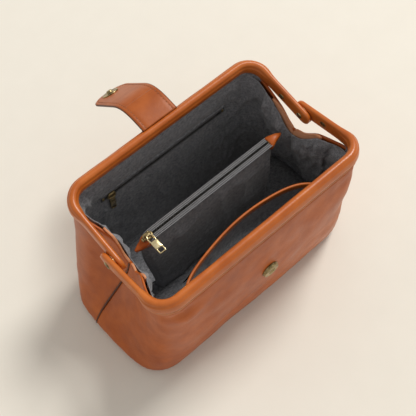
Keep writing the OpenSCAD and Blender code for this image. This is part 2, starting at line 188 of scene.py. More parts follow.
class Build:
    """Collects points and faces of one piece."""

    def __init__(self):
        self.points = []
        self.faces = []

    def add(self, points, faces):
        first = len(self.points)
        self.points += points
        self.faces += [tuple(first + i for i in f) for f in faces]

    def loft(self, rings, loop=False, caps=True):
        """Skins rings of equal length; loop joins the last ring to the first."""
        n = len(rings[0])
        points = [p for ring in rings for p in ring]
        faces = []
        count = len(rings)
        for r in range(count if loop else count - 1):
            a, b = r * n, ((r + 1) % count) * n
            faces += [(a + i, a + (i + 1) % n, b + (i + 1) % n, b + i) for i in range(n)]
        if caps and not loop:
            for ring, turn in ((0, -1), (count - 1, 1)):
                centre = sum((Vector(p) for p in rings[ring]), Vector()) / n
                points.append(centre)
                hub = len(points) - 1
                base = ring * n
                for i in range(n):
                    pair = (base + i, base + (i + 1) % n)
                    faces.append((*pair, hub) if turn > 0 else (*pair[::-1], hub))
        self.add(points, faces)

    def sheet(self, face_a, face_b, rows, cols):
        """Closed sheet between two surfaces, each a function of u and v from 0 to 1."""
        self.grid_pair(*([[face(u, v) for u in span(0, 1, cols)] for v in span(0, 1, rows)]
                         for face in (face_a, face_b)))

    def grid_pair(self, grid_a, grid_b):
        rows, cols = len(grid_a) - 1, len(grid_a[0]) - 1
        row = cols + 1
        far = row * (rows + 1)
        points = [p for grid in (grid_a, grid_b) for line in grid for p in line]
        faces = []
        for j in range(rows):
            for i in range(cols):
                q = j * row + i
                quad = (q, q + 1, q + row + 1, q + row)
                faces.append(quad)
                faces.append(tuple(far + k for k in quad[::-1]))
        rim = list(range(row)) + [j * row + cols for j in range(1, rows + 1)]
        rim += [rows * row + i for i in range(cols - 1, -1, -1)]
        rim += [j * row for j in range(rows - 1, 0, -1)]
        for k, p in enumerate(rim):
            q = rim[(k + 1) % len(rim)]
            faces.append((q, p, far + p, far + q))
        self.add(points, faces)

    def lathe(self, profile, place, segments=40):
        """Turns (radius, height) pairs about the local Z of a 4x4 placement."""
        self.loft([[place @ Vector((*p, height)) for p in circle(radius, radius, segments)]
                   for radius, height in profile])

    def pebble(self, place, size, power=0.5, rings=6, segments=10):
        """A rounded block: half sizes along the placement's axes."""
        loops = []
        for j in range(rings + 1):
            lat = math.pi * (j / rings - 0.5)
            wide, z = power_of(math.cos(lat), power), power_of(math.sin(lat), power)
            ring = []
            for k in range(segments):
                lon = 2 * math.pi * (k + 0.5) / segments
                x = wide * power_of(math.cos(lon), power)
                y = wide * power_of(math.sin(lon), power)
                ring.append(place @ Vector((size[0] * x, size[1] * y, size[2] * z)))
            loops.append(ring)
        self.loft(loops)

    def slab(self, outline, low, high, bevel, place):
        """A flat plate from an outline drawn in XY, with rounded edges."""
        centre = sum((Vector((*p, 0)) for p in outline), Vector()) / len(outline)
        rings = []
        for inset, z in ((bevel, low), (bevel * 0.3, low + bevel * 0.3), (0, low + bevel),
                         (0, high - bevel), (bevel * 0.3, high - bevel * 0.3), (bevel, high)):
            ring = []
            for p in outline:
                away = Vector((*p, 0)) - centre
                q = centre + away * (1 - inset / max(away.length, bevel + 0.01))
                ring.append(place @ Vector((q.x, q.y, z)))
            rings.append(ring)
        self.loft(rings)

    def sweep(self, stations, profile, loop=False):
        """Carries a closed profile of (across, up) pairs along (origin, across, up) stations.

        The profile is one list of pairs, or a list with one such list for each station.
        """
        shapes = profile if isinstance(profile[0], list) else [profile] * len(stations)
        self.loft([[Vector(origin) + Vector(across) * a + Vector(up) * b for a, b in shape]
                   for (origin, across, up), shape in zip(stations, shapes)], loop=loop)


def circle(wide, high, count):
    """Closed oval section, anticlockwise."""
    turns = [2 * math.pi * k / count for k in range(count)]
    return [(wide * math.cos(a), high * math.sin(a)) for a in turns]


def power_of(value, power):
    return math.copysign(abs(value) ** power, value)


def rounded_rect(width, height, radius, steps=4):
    """Closed outline centred on the origin, anticlockwise."""
    points = []
    for sx, sy, start in ((1, 1, 0), (-1, 1, 90), (-1, -1, 180), (1, -1, 270)):
        cx, cy = sx * (width / 2 - radius), sy * (height / 2 - radius)
        for k in range(steps + 1):
            a = math.radians(start + 90 * k / steps)
            points.append((cx + radius * math.cos(a), cy + radius * math.sin(a)))
    return points


def at(x, y, z):
    return Matrix.Translation(Vector((x, y, z)))


def axes(origin, x_axis, y_axis, z_axis):
    place = Matrix.Identity(4)
    for column, axis in enumerate((x_axis, y_axis, z_axis, origin)):
        for row in range(3):
            place[row][column] = axis[row]
    return place


def stitches(build, path, normals, pitch=3.6, length=2.5, radius=0.42, sink=0.12):
    """A row of short thread bars along a polyline."""
    total = [0.0]
    for a, b in zip(path, path[1:]):
        total.append(total[-1] + (Vector(b) - Vector(a)).length)
    count = int(total[-1] / pitch)
    seg = 0
    for i in range(count):
        s = (i + 0.5) * total[-1] / count
        while total[seg + 1] < s:
            seg += 1
        a, b = Vector(path[seg]), Vector(path[seg + 1])
        t = (s - total[seg]) / (total[seg + 1] - total[seg])
        along = (b - a).normalized()
        up = Vector(normals[seg]).lerp(Vector(normals[seg + 1]), t).normalized()
        side = up.cross(along).normalized()
        place = axes(a.lerp(b, t) - up * sink, along, side, up)
        build.pebble(place, (length / 2, radius, radius), 0.75, 4, 6)


def lumps(p, size, seed=0.0):
    """Smooth repeatable noise from -1 to 1."""
    return noise.noise(Vector((p[0] / size + seed, p[1] / size - seed, p[2] / size + 0.5 * seed)))


def creases(p, size, seed=0.0):
    """Ridged noise from 0 to 1, for crumpled cloth."""
    warp = lumps(p, size * 1.7, seed + 9.0) * size * 0.5
    q = (p[0] + warp, p[1] - warp, p[2] + warp)
    valley = abs(lumps(q, size, seed))
    return (1 - valley * 2.2) ** 2 if valley < 0.45 else 0.0


# ---------------------------------------------------------------- materials
class Nodes:
    """Short-hand for building a material's node tree."""

    def __init__(self, name):
        self.material = bpy.data.materials.new(name)
        self.material.use_nodes = True
        self.tree = self.material.node_tree
        self.shader = self.tree.nodes["Principled BSDF"]
        self.coords = self.tree.nodes.new("ShaderNodeTexCoord").outputs["Object"]

    def node(self, kind, inputs=None, **settings):
        made = self.tree.nodes.new(kind)
        for key, value in settings.items():
            setattr(made, key, value)
        for key, value in (inputs or {}).items():
            if isinstance(value, bpy.types.NodeSocket):
                self.tree.links.new(value, made.inputs[key])
            else:
                made.inputs[key].default_value = value
        return made

    def noise(self, scale, detail=4.0, rough=0.55, stretch=None):
        where = self.coords
        if stretch:
            where = self.node("ShaderNodeMapping", {"Vector": where,
                                                    "Scale": stretch}).outputs["Vector"]
        return self.node("ShaderNodeTexNoise", {"Vector": where, "Scale": scale, "Detail": detail,
                                                "Roughness": rough}).outputs["Fac"]

    def spread(self, value, low, high, start=0.3, stop=0.7):
        """Takes a value from start..stop to low..high."""
        return self.node("ShaderNodeMapRange", {"Value": value, "From Min": start,
                                                "From Max": stop, "To Min": low,
                                                "To Max": high}).outputs["Result"]

    def cells(self, scale, feature="F1"):
        return self.node("ShaderNodeTexVoronoi", {"Vector": self.coords, "Scale": scale},
                         feature=feature).outputs["Distance"]

    def wave(self, scale, direction, distortion=0.6):
        return self.node("ShaderNodeTexWave", {"Vector": self.coords, "Scale": scale,
                                               "Distortion": distortion, "Detail": 2.0,
                                               "Detail Scale": 1.5},
                         bands_direction=direction).outputs["Fac"]

    def ramp(self, value, stops):
        made = self.node("ShaderNodeValToRGB", {"Fac": value})
        elements = made.color_ramp.elements
        for place, colour in stops[2:]:
            elements.new(place)
        for element, (place, colour) in zip(elements, sorted(stops)):
            element.position = place
            element.color = (*colour, 1)
        return made.outputs["Color"]

    def math(self, operation, a, b):
        return self.node("ShaderNodeMath", {0: a, 1: b}, operation=operation).outputs[0]

    def mix(self, fac, a, b, blend="MIX"):
        made = self.node("ShaderNodeMix", {"Factor": fac}, data_type="RGBA", blend_type=blend)
        for socket, value in ((made.inputs[6], a), (made.inputs[7], b)):
            if isinstance(value, bpy.types.NodeSocket):
                self.tree.links.new(value, socket)
            else:
                socket.default_value = (*value, 1)
        return made.outputs[2]

    def bump(self, height, strength, distance, under=None):
        inputs = {"Height": height, "Strength": strength, "Distance": distance}
        if under:
            inputs["Normal"] = under
        return self.node("ShaderNodeBump", inputs).outputs["Normal"]

    def set(self, **values):
        for key, value in values.items():
            socket = self.shader.inputs[key.replace("_", " ")]
            if isinstance(value, bpy.types.NodeSocket):
                self.tree.links.new(value, socket)
            else:
                socket.default_value = value
        return self.material


def leather_material(name, dark, body, light, rough=(0.33, 0.50), shine=0.30):
    n = Nodes(name)
    tone = n.noise(9.0, 5.0, 0.6)
    mottle = n.noise(70.0, 4.0, 0.6)
    colour = n.ramp(tone, [(0.28, dark), (0.72, light), (0.5, body)])
    colour = n.mix(0.35, colour, n.ramp(mottle, [(0.35, dark), (0.7, light)]))
    scratch = n.noise(24.0, 6.0, 0.7, (1.0, 6.0, 2.0))
    colour = n.mix(n.math("MULTIPLY", scratch, 0.18), colour, light)
    pores = n.cells(1500.0)
    grain = n.cells(640.0, "SMOOTH_F1")
    fine = n.bump(pores, 0.28, 0.00012)
    coarse = n.bump(grain, 0.22, 0.00022, fine)
    soft = n.bump(n.noise(60.0, 5.0, 0.6), 0.16, 0.0012, coarse)
    gloss = n.spread(n.noise(38.0, 4.0), *rough)
    return n.set(Base_Color=colour, Roughness=gloss, Normal=soft, Coat_Weight=0.05,
                 Coat_Roughness=0.32, Specular_IOR_Level=shine)


def cloth_material(name, dark, body, light, thread=2600.0):
    n = Nodes(name)
    fibres = n.noise(900.0, 3.0, 0.7, (0.35, 1.0, 1.0))
    heather = n.noise(330.0, 5.0, 0.75)
    cloud = n.noise(22.0, 3.0, 0.5)
    colour = n.ramp(heather, [(0.34, dark), (0.66, light), (0.5, body)])
    colour = n.mix(0.4, colour, n.ramp(fibres, [(0.38, dark), (0.64, light)]))
    colour = n.mix(n.math("MULTIPLY", cloud, 0.3), colour, body)
    warp = n.wave(thread / 6.0, "X")
    weft = n.wave(thread / 6.0, "Z")
    weave = n.bump(n.math("MULTIPLY", warp, weft), 0.35, 0.00025)
    fuzz = n.bump(fibres, 0.3, 0.0003, weave)
    gloss = n.spread(heather, 0.78, 0.98, 0.0, 1.0)
    return n.set(Base_Color=colour, Roughness=gloss, Normal=fuzz, Sheen_Weight=0.25,
                 Sheen_Roughness=0.5, Specular_IOR_Level=0.25)


def metal_material(name, dark, bright, rough=(0.22, 0.45), tarnish=0.5):
    n = Nodes(name)
    patches = n.noise(160.0, 5.0, 0.65)
    colour = n.ramp(patches, [(tarnish - 0.16, dark), (tarnish + 0.16, bright)])
    brushed = n.noise(900.0, 2.0, 0.5, (1.0, 0.12, 1.0))
    gloss = n.spread(patches, rough[1], rough[0])
    return n.set(Base_Color=colour, Metallic=1.0, Roughness=gloss,
                 Normal=n.bump(brushed, 0.12, 0.0001))


def board_material():
    n = Nodes("grey_board")
    fibres = n.noise(420.0, 5.0, 0.7)
    colour = n.ramp(fibres, [(0.35, (0.17, 0.13, 0.09)), (0.65, (0.33, 0.27, 0.19))])
    return n.set(Base_Color=colour, Roughness=0.92, Normal=n.bump(fibres, 0.3, 0.0003))


def thread_material(name, colour_a, colour_b):
    n = Nodes(name)
    ply = n.wave(420.0, "DIAGONAL", 0.2)
    return n.set(Base_Color=n.ramp(ply, [(0.3, colour_a), (0.7, colour_b)]), Roughness=0.7,
                 Normal=n.bump(ply, 0.4, 0.0002))


def floor_material():
    n = Nodes("pale_floor")
    grain = n.noise(30.0, 4.0)
    colour = n.ramp(grain, [(0.3, (0.80, 0.765, 0.69)), (0.7, (0.815, 0.78, 0.705))])
    return n.set(Base_Color=colour, Roughness=0.85, Specular_IOR_Level=0.2)


TAN = leather_material("tan_leather", (0.29, 0.052, 0.006), (0.44, 0.092, 0.011),
                       (0.56, 0.142, 0.020))
RIM = leather_material("rim_leather", (0.36, 0.072, 0.008), (0.50, 0.118, 0.014),
                       (0.61, 0.175, 0.028), (0.27, 0.38), 0.42)
STRAP = leather_material("strap_leather", (0.26, 0.052, 0.007), (0.38, 0.085, 0.013),
                         (0.48, 0.130, 0.024), (0.38, 0.5))
EDGE = leather_material("cut_edge_leather", (0.46, 0.17, 0.070), (0.60, 0.25, 0.115),
                        (0.72, 0.34, 0.18), (0.5, 0.7))
FLESH = leather_material("facing_leather", (0.48, 0.19, 0.095), (0.66, 0.30, 0.16),
                         (0.80, 0.42, 0.25), (0.5, 0.72))
DARK_EDGE = leather_material("painted_edge", (0.050, 0.014, 0.006), (0.085, 0.024, 0.010),
                             (0.13, 0.04, 0.017), (0.4, 0.6))
LINING = cloth_material("grey_lining", (0.078, 0.080, 0.090), (0.188, 0.192, 0.208),
                        (0.400, 0.406, 0.430))
TAPE = cloth_material("zip_tape", (0.050, 0.051, 0.055), (0.100, 0.102, 0.108),
                      (0.190, 0.192, 0.200), 4200.0)
COIL = metal_material("dark_zip_coil", (0.010, 0.010, 0.011), (0.07, 0.068, 0.062), (0.3, 0.5))
OLD_BRASS = metal_material("antique_brass", (0.12, 0.088, 0.040), (0.52, 0.40, 0.20))
BRASS = metal_material("bright_brass", (0.50, 0.38, 0.17), (0.86, 0.74, 0.45), (0.14, 0.3), 0.4)
STEEL = metal_material("spring_steel", (0.20, 0.20, 0.20), (0.55, 0.55, 0.54), (0.3, 0.5))
BOARD = board_material()
THREAD = thread_material("tan_thread", (0.20, 0.055, 0.018), (0.42, 0.15, 0.055))
GREY_THREAD = thread_material("grey_thread", (0.13, 0.13, 0.138), (0.34, 0.34, 0.35))


# ---------------------------------------------------------------- placing and riding
def rides(build, name, material, body, slot, *nodes):
    obj = make_mesh(name, build.points, build.faces, material)
    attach(obj, body)
    if nodes:
        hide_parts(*nodes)
    return obj


def blends(build, name, material, bodies, start, end, slot, *nodes):
    obj = make_mesh(name, build.points, build.faces, material)
    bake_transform(obj)
    if nodes:
        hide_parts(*nodes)


def blends_to_wall(build, name, material, side, slot, *nodes):
    """Makes a piece of the body on its side, baked in place; the base and wall passed on are not
    used.
    """
    blends(build, name, material, ("root", HALF[side] + "_wall"), (0, 0, 0),
           (0, side * WALL_FOOT, 0), slot, *nodes)


def frame_point(p, side):
    """From frame-half space (bar towards -Y, pivot line at the origin) to the bag."""
    x, y, v = p
    out = -y * math.cos(TILT) - v * math.sin(TILT)
    return (x, side * out, PIVOT_Z - y * math.sin(TILT) + v * math.cos(TILT))


def u_path(half, inset, tail, corner_steps=10, bar_steps=36, arm_steps=12):
    """Plan points of a frame half with outward directions, from one arm end to the other."""
    r = CORNER_R - inset
    x, y = half - inset, -(REACH - inset)
    right = []
    for t in span(tail, y + r, arm_steps)[:-1]:
        right.append(((x, t), (1, 0)))
    for k in range(corner_steps + 1):
        a = math.radians(90 * k / corner_steps)
        d = (math.cos(a), -math.sin(a))
        right.append(((x - r + r * d[0], y + r + r * d[1]), d))
    for t in span(x - r, 0, bar_steps // 2)[1:]:
        right.append(((t, y), (0, -1)))
    left = [((-p[0], p[1]), (-d[0], d[1])) for p, d in right[-2::-1]]
    return right + left


def frame_station(p, d, v, side):
    """A sweep's station on a frame half, from a plan point and its outward direction."""
    here = Vector(frame_point((*p, v), side))
    out = Vector(frame_point((p[0] + d[0], p[1] + d[1], v), side)) - here
    return here, out, Vector(frame_point((*p, v + 1), side)) - here


# ---------------------------------------------------------------- body of the bag
def end_bow(t, rise):
    """From the middle of an end (0) to its corner (1): round at the foot, creased above."""
    t = clamp(t)
    return lerp(t ** 2.4, smooth(t) ** 0.7, smooth(2.2 * rise))


def end_spread(z, side, hand):
    """X of the middle crease and of the corner of an end at height z."""
    rise = clamp(z / SEAM_Z)
    top_half = FRAME_HALF[side] - TOP_INSET
    bulge = END_BULGE[hand] * (1 - smooth(1.4 * rise))
    middle = END_X + bulge - END_TAPER * rise - END_FOLD * smooth(1.4 * rise)
    middle += END_OUT[hand] * rise
    return middle, lerp(END_X + FOOT_CORNER[hand], top_half, rise ** CORNER_LEAN[hand])


def outline(z, side, inset, columns):
    """Plan of one half of the bag at height z: middle of the right end, wall, left end."""
    right = half_outline(z, side, inset, columns, 1)
    left = half_outline(z, side, inset, columns, -1)
    return right + left[-2::-1]


def half_outline(z, side, inset, columns, hand):
    rise = clamp(z / SEAM_Z)
    tuck = foot_round(z)
    middle, corner = (x - tuck - inset for x in end_spread(z, side, hand))
    depth = wall_y(z) - inset
    radius = lerp(30, CORNER_R, rise ** 2) + 12 * math.sin(math.pi * rise) - inset
    end_n, turn_n, wall_n = columns
    turn_at = 1 - radius / depth
    points = []
    for t in span(0, turn_at, end_n)[:-1]:
        points.append((middle + (corner - middle) * end_bow(t, rise), depth * t))
    start = Vector((middle + (corner - middle) * end_bow(turn_at, rise), depth * turn_at))
    apex = Vector((corner, depth))
    stop = Vector((corner - radius, depth))
    for t in span(0, 1, turn_n):
        q = start * (1 - t) ** 2 + apex * 2 * t * (1 - t) + stop * t ** 2
        points.append((q.x, q.y))
    for x in span(stop.x, 0, wall_n // 2)[1:]:
        points.append((x, depth))
    return [(hand * x, side * y + end_slant(hand, rise, y / depth)) for x, y in points]


def end_slant(hand, rise, t):
    """How far the middle crease of an end drifts to the back, most near the floor."""
    return SEAM_SLANT[hand] * (1 - smooth(rise * 1.15)) * (1 - smooth(t * 1.2))


SHELL_COLUMNS = (14, 10, 60)

# Soft dents of the leather: x, z, half width, half height, depth.
DENTS = {
    FRONT: [(-97, 143, 12, 5, 5.0), (-106, 126, 7, 12, 2.4), (88, 138, 12, 6, 1.8),
            (-88, 129, 24, 8, -2.6), (-60, 108, 34, 10, -1.6), (-92, 98, 18, 20, 2.0),
            (-40, 42, 60, 10, 1.2), (52, 60, 40, 9, 1.0), (97, 66, 10, 34, 1.6),
            (-104, 58, 9, 30, 1.8)],
    BACK: [(-80, 138, 14, 6, 2.0), (78, 138, 14, 6, 2.0), (10, 50, 64, 12, 1.3),
           (-94, 70, 10, 34, 1.6), (92, 62, 10, 30, 1.5)],
}


def leather_give(x, y, z, side):
    """How far soft leather stands in or out of the plain outline."""
    hold = smooth(z / 16) * smooth((SEAM_Z - 3 - z) / 18)
    give = 1.7 * lumps((x, y, z), 46, 3.0) + 0.55 * lumps((x, y, z), 17, 7.0)
    for cx, cz, wide, high, depth in DENTS[side]:
        if abs(y) > 45:
            give -= depth * math.exp(-((x - cx) / wide) ** 2 - ((z - cz) / high) ** 2)
    puckers = smooth((z - (SEAM_Z - 22)) / 16) * math.sin(x / 2.6 + 3 * lumps((x, y, z), 30))
    corner = smooth((abs(x) - 78) / 20)
    return hold * give + 0.35 * puckers * corner * smooth((SEAM_Z - z) / 5)


def skin(side, inset, low, give, drop, rows, columns):
    """Grid of points of one half of the body at a depth from its outer face."""
    top_plan = outline(SEAM_Z, side, inset, columns)
    tops = []
    for x, y in top_plan:
        lower = drop * (1 - 0.9 * smooth((abs(y) - 20) / 12))
        tops.append(end_top(y, 1 if x > 0 else -1) - lower)
    grid = []
    for v in span(0, 1, rows):
        # rows crowd towards the foot, where the leather curls
        lift = v ** 1.25
        line = []
        plans = {}
        for i, top in enumerate(tops):
            z = lerp(low, top, lift)
            key = round(z, 2)
            if key not in plans:
                plans[key] = outline(z, side, inset, columns)
            x, y = plans[key][i]
            away = Vector((x * 0.35, y, 0)).normalized()
            if abs(y) < 40:
                away = Vector((math.copysign(1, x), 0, 0))
            shift = give(x, y, z, top - z) * smooth(abs(y) / 8)
            line.append((x + away.x * shift, y + away.y * shift, z))
        grid.append(line)
    return grid


def body_half(side, label, material, slot, nodes, depths, give, drop, rows, columns):
    """A wall with its half of each end, as one closed sheet between two depths."""
    outer, inner = (skin(side, inset, low, give, drop, rows, columns) for inset, low in depths)
    build = Build()
    build.grid_pair(*((outer, inner) if side == BACK else (inner, outer)))
    wall_node, end_node = nodes
    blends_to_wall(build, f"{HALF[side]}_{label}", material, side, slot,
                   f"{HALF[side]}_{wall_node}", f"{HAND[side]}_{end_node}")


def half_shell(side):
    def give(x, y, z, below):
        return leather_give(x, y, z, side)

    body_half(side, "shell", TAN, "tan_leather", ("panel", "gusset"),
              ((0, 0.4), (LEATHER, 0.9)), give, 0, 46, SHELL_COLUMNS)


def cloth_give(x, y, z, below):
    """Wrinkles of the lining, always towards the inside; deeper in the corners and ends."""
    corner = smooth((abs(x) - 62) / 34)
    crumple = creases((x, y, z * 0.55), 15, 5.0) * lerp(1.5, 4.6, corner)
    crumple += creases((x * 1.5, y * 1.5, z * 0.35), 8, 11.0) * lerp(0.3, 1.7, corner)
    drape = (0.5 + 0.5 * lumps((x, y, 0.35 * z), 26, 1.0)) * lerp(1.2, 3.8, corner)
    along = x if abs(y) > 56 else y
    pleat = 0.5 + 0.5 * math.sin(along / 1.7 + 2.5 * lumps((x, y, z * 0.3), 16, 9.0))
    crumple += pleat * lerp(0.5, 2.6, corner) * smooth(1 - below / 46)
    edge = smooth(below / 14)
    calm = 0.92 * math.exp(-((z - BACK_ZIP_Z) / 11) ** 2) * smooth((90 - abs(x)) / 10)
    calm *= smooth(y / 20)
    foot = smooth((z - 4) / 30)
    return -(crumple + drape) * lerp(0.12, 1.0, edge) * foot * (1 - calm)


LINING_COLUMNS = (18, 12, 72)


def half_lining(side):
    body_half(side, "lining_cloth", LINING, "grey_lining", ("lining", "gusset_lining"),
              ((LINING_IN, 5.0), (LINING_IN + LINING_T, 5.4)), cloth_give, 5.5, 60,
              LINING_COLUMNS)


def end_seam(side_x):
    """Raised seam down the middle of an end, where the two shells are sewn together."""
    build = Build()
    stations = []
    for z in span(2.5, end_top(0, side_x) - 1, 40):
        x, y = half_outline(z, BACK, 0, (4, 4, 4), side_x)[0]
        stations.append(((x + 0.1 * side_x, y, z), (1, 0, 0), (0, 1, 0)))
    build.sweep(stations, circle(0.75, 0.9, 8))
    rides(build, HAND[side_x] + "_end_seam", DARK_EDGE, "root", "dark_leather")


FACING_HALF = 30.0


def facing_point(side_x, side, depth, u, v):
    """Face of the leather strip along an end's free edge, from the notch (u=0) outwards."""
    t = u * FACING_HALF
    y = side * t
    notch = 3.0 * max(0.0, 1 - t / 3.0)
    tall = 12.5 - 5 * u ** 4
    z = end_top(y, side_x) + 1.2 - notch - tall * (1 - v)
    middle, corner = end_spread(z, side, side_x)
    x = middle + (corner - middle) * end_bow(t / wall_y(z), z / SEAM_Z)
    wave = 0.4 * lumps((0, y, z), 13, 4.0 + side_x)
    flare = 2.4 * v * v * (1 - u ** 3)
    return (side_x * (x - depth + wave + flare), y, z)


def end_facing(side_x, side):
    """Half of the leather strip along the free edge of an end, with its cut edge."""

    def face(depth):
        def point(u, v):
            return facing_point(side_x, side, depth, u, v)
        return point

    near, far = face(LEATHER + 0.3), face(LEATHER + 2.1)
    if side_x * side < 0:
        near, far = far, near
    build = Build()
    build.sheet(near, far, 8, 24)
    name = f"{HAND[side_x]}_{HALF[side]}_facing"
    nodes = [HAND[side_x] + "_gusset_facing"] if side == FRONT else []
    blends_to_wall(build, name, FLESH, side, "dark_leather", *nodes)
    across = Vector((side_x, 0, 0))
    stations = []
    for u in span(0.0, 0.98, 32):
        p, q = (Vector(facing_point(side_x, side, LEATHER + 1.2, t, 1)) for t in (u, u + 0.02))
        stations.append((p, across, across.cross((q - p).normalized())))
    rim = Build()
    rim.sweep(stations, circle(1.15, 0.55, 8))
    blends_to_wall(rim, name + "_edge", EDGE, side, "tan_leather")


def foot_plan(z, inset):
    """Closed plan of the whole bag at height z."""
    front = outline(z, FRONT, inset, (10, 8, 40))
    back = outline(z, BACK, inset, (10, 8, 40))
    return back[:-1] + front[::-1][:-1]


def base_pieces():
    build = Build()
    build.slab(foot_plan(2.4, 4.0), 0, 2.4, 1.0, Matrix.Identity(4))
    rides(build, "base_leather", TAN, "root", "tan_leather", "base_panel")
    piping = Build()
    ring = []
    for p in foot_plan(2.4, 3.4):
        out = Vector((*p, 0)).normalized()
        ring.append(((p[0], p[1], 1.5), tuple(out), (0, 0, 1)))
    piping.sweep(ring, circle(1.3, 1.3, 10), loop=True)
    rides(piping, "base_piping", RIM, "root", "tan_leather")
    floor = Build()
    rings = []
    for inset, lift in ((LINING_IN + 0.6, 0), (LINING_IN + 0.6, 0.9), (16, 0.9), (36, 0.9),
                        (52, 0.9)):
        ring = []
        for x, y in foot_plan(6, inset):
            ripple = 0.5 + 0.4 * lumps((x, y, 0), 24, 2.0) + 0.6 * creases((x, y, 0), 20, 8.0)
            ring.append((x, y, 4.6 + lift + (ripple if lift and inset > 10 else 0)))
        rings.append(ring)
    floor.loft(rings)
    rides(floor, "base_cloth", LINING, "root", "grey_lining", "base_lining")


# ---------------------------------------------------------------- frame halves
def casing(side):
    """Leather rolled over the frame band, with rounded arm ends."""
    half = FRAME_HALF[side]
    arm_r = BAND / 2
    tail = ARM_TAIL - arm_r
    mid_v = (RIM_V + SEAM_V) / 2
    round_off = []
    for angle in (88, 78, 66, 54, 42, 30, 20, 10):
        a = math.radians(angle)
        round_off.append(((half, tail + arm_r * math.sin(a)), (1, 0), math.cos(a)))
    full = round_off + [(p, d, 1.0) for p, d in u_path(half, 0, tail)]
    full += [((-p[0], p[1]), (-d[0], d[1]), k) for p, d, k in round_off[::-1]]
    stations, shapes = [], []
    for p, d, k in full:
        origin = frame_point((p[0] - d[0] * CASED / 2, p[1] - d[1] * CASED / 2, mid_v), side)
        stations.append((origin, *frame_station(p, d, 0, side)[1:]))
        shapes.append(casing_profile(2 * arm_r * k, p))
    build = Build()
    build.sweep(stations, shapes)
    rides(build, HALF[side] + "_casing_roll", RIM, HALF[side] + "_frame", "tan_leather",
          HALF[side] + "_casing")


SIDE_MARKS = (0.06, 0.12, 0.18, 0.24, 0.32, 0.42, 0.5, 0.6, 0.7, 0.76, 0.82, 0.88, 0.94)


def casing_profile(height, p):
    """Section of the band: rolled edges, swollen sides and a pressed line near the seam."""
    high = max(height, 1.0)
    bar = smooth((-RIVET_IN - 14 - p[1]) / 16)
    wide = CASED + 2.2 * bar
    corners = rounded_rect(wide, high + 1.4 * bar, min(wide / 2 - 0.1, high / 2 - 0.05), 5)
    half = len(corners) // 2
    shape = corners[:half] + side_points(corners[half - 1], corners[half], high, p)
    return shape + corners[half:] + side_points(corners[-1], corners[0], high, p)


def side_points(start, stop, height, p):
    """Points down one long side of the band's section."""
    full = smooth((height - 13) / 2)
    bar = smooth((-RIVET_IN - 14 - p[1]) / 16)
    puff = 0.45 + 1.0 * bar + 0.3 * lumps((p[0], p[1], 0), 22, 6.0)
    points = []
    for t in SIDE_MARKS:
        x, y = lerp(start[0], stop[0], t), lerp(start[1], stop[1], t)
        s = 2 * y / BAND
        swell = full * (puff * (1 - s * s) - 0.5 * math.exp(-((s + 0.5) / 0.09) ** 2))
        points.append((x + math.copysign(swell, x), y))
    return points


def seam_welt(side):
    """Leather piping in the seam between the casing and the shell, on the fold line."""
    build = Build()
    build.sweep([frame_station(p, d, SEAM_V - 0.7, side)
                 for p, d in u_path(FRAME_HALF[side], 0.6, SEWN_TAIL)], circle(1.25, 1.0, 10))
    rides(build, HALF[side] + "_seam_welt", EDGE, HALF[side] + "_wall", "tan_leather")


def lining_hem(side):
    """Gathered top edge of the lining, sewn up inside the casing."""
    path = u_path(FRAME_HALF[side], CASED + 0.4, SEWN_TAIL, 14, 110, 6)

    def gathered(p):
        pucker = 0.5 + 0.5 * lumps((p[0], p[1], 0), 4.2, 2.0)
        sag = 1.5 * lumps((p[0], p[1], 0), 18.0, 5.0)
        thick = 0.8
        fade = smooth((-p[1] - 49) / 10)
        tuck = lerp(2.0, 0.0, fade)
        line = [(-0.1 + tuck, SEAM_V + 2.6), (-0.5 - 0.7 * pucker + tuck, SEAM_V + 0.6),
                (-0.9 - 2.0 * pucker + tuck, SEAM_V - 2.2),
                (-0.8 - 2.6 * pucker + tuck, SEAM_V - (5.4 - 0.4 * sag) * lerp(0.5, 1, fade)),
                (0.1 - 1.6 * pucker + tuck, SEAM_V - (10 - sag) * lerp(0.35, 1, fade))]
        return line + [(a + thick, b - 0.3) for a, b in line[::-1]]

    build = Build()
    build.sweep([frame_station(p, d, 0, side) for p, d in path], [gathered(p) for p, d in path])
    blends(build, HALF[side] + "_lining_hem", LINING, (HALF[side] + "_wall", HALF[side] + "_frame"),
           (0, side * SEAM_Y, SEAM_Z - 4), (0, side * SEAM_Y, SEAM_Z + 2), "grey_lining")


def x_placement(point, outward):
    """A placement whose Z points along X (outward is 1 or -1)."""
    return axes(point, (0, 1, 0), (0, 0, outward), (outward, 0, 0))


def dome(radius, height):
    """Lathe profile of a domed rivet head."""
    return [(0.01, 0), (radius, 0), (radius, height * 0.3), (radius * 0.93, height * 0.62),
            (radius * 0.72, height * 0.88), (radius * 0.4, height), (0.01, height * 1.02)]


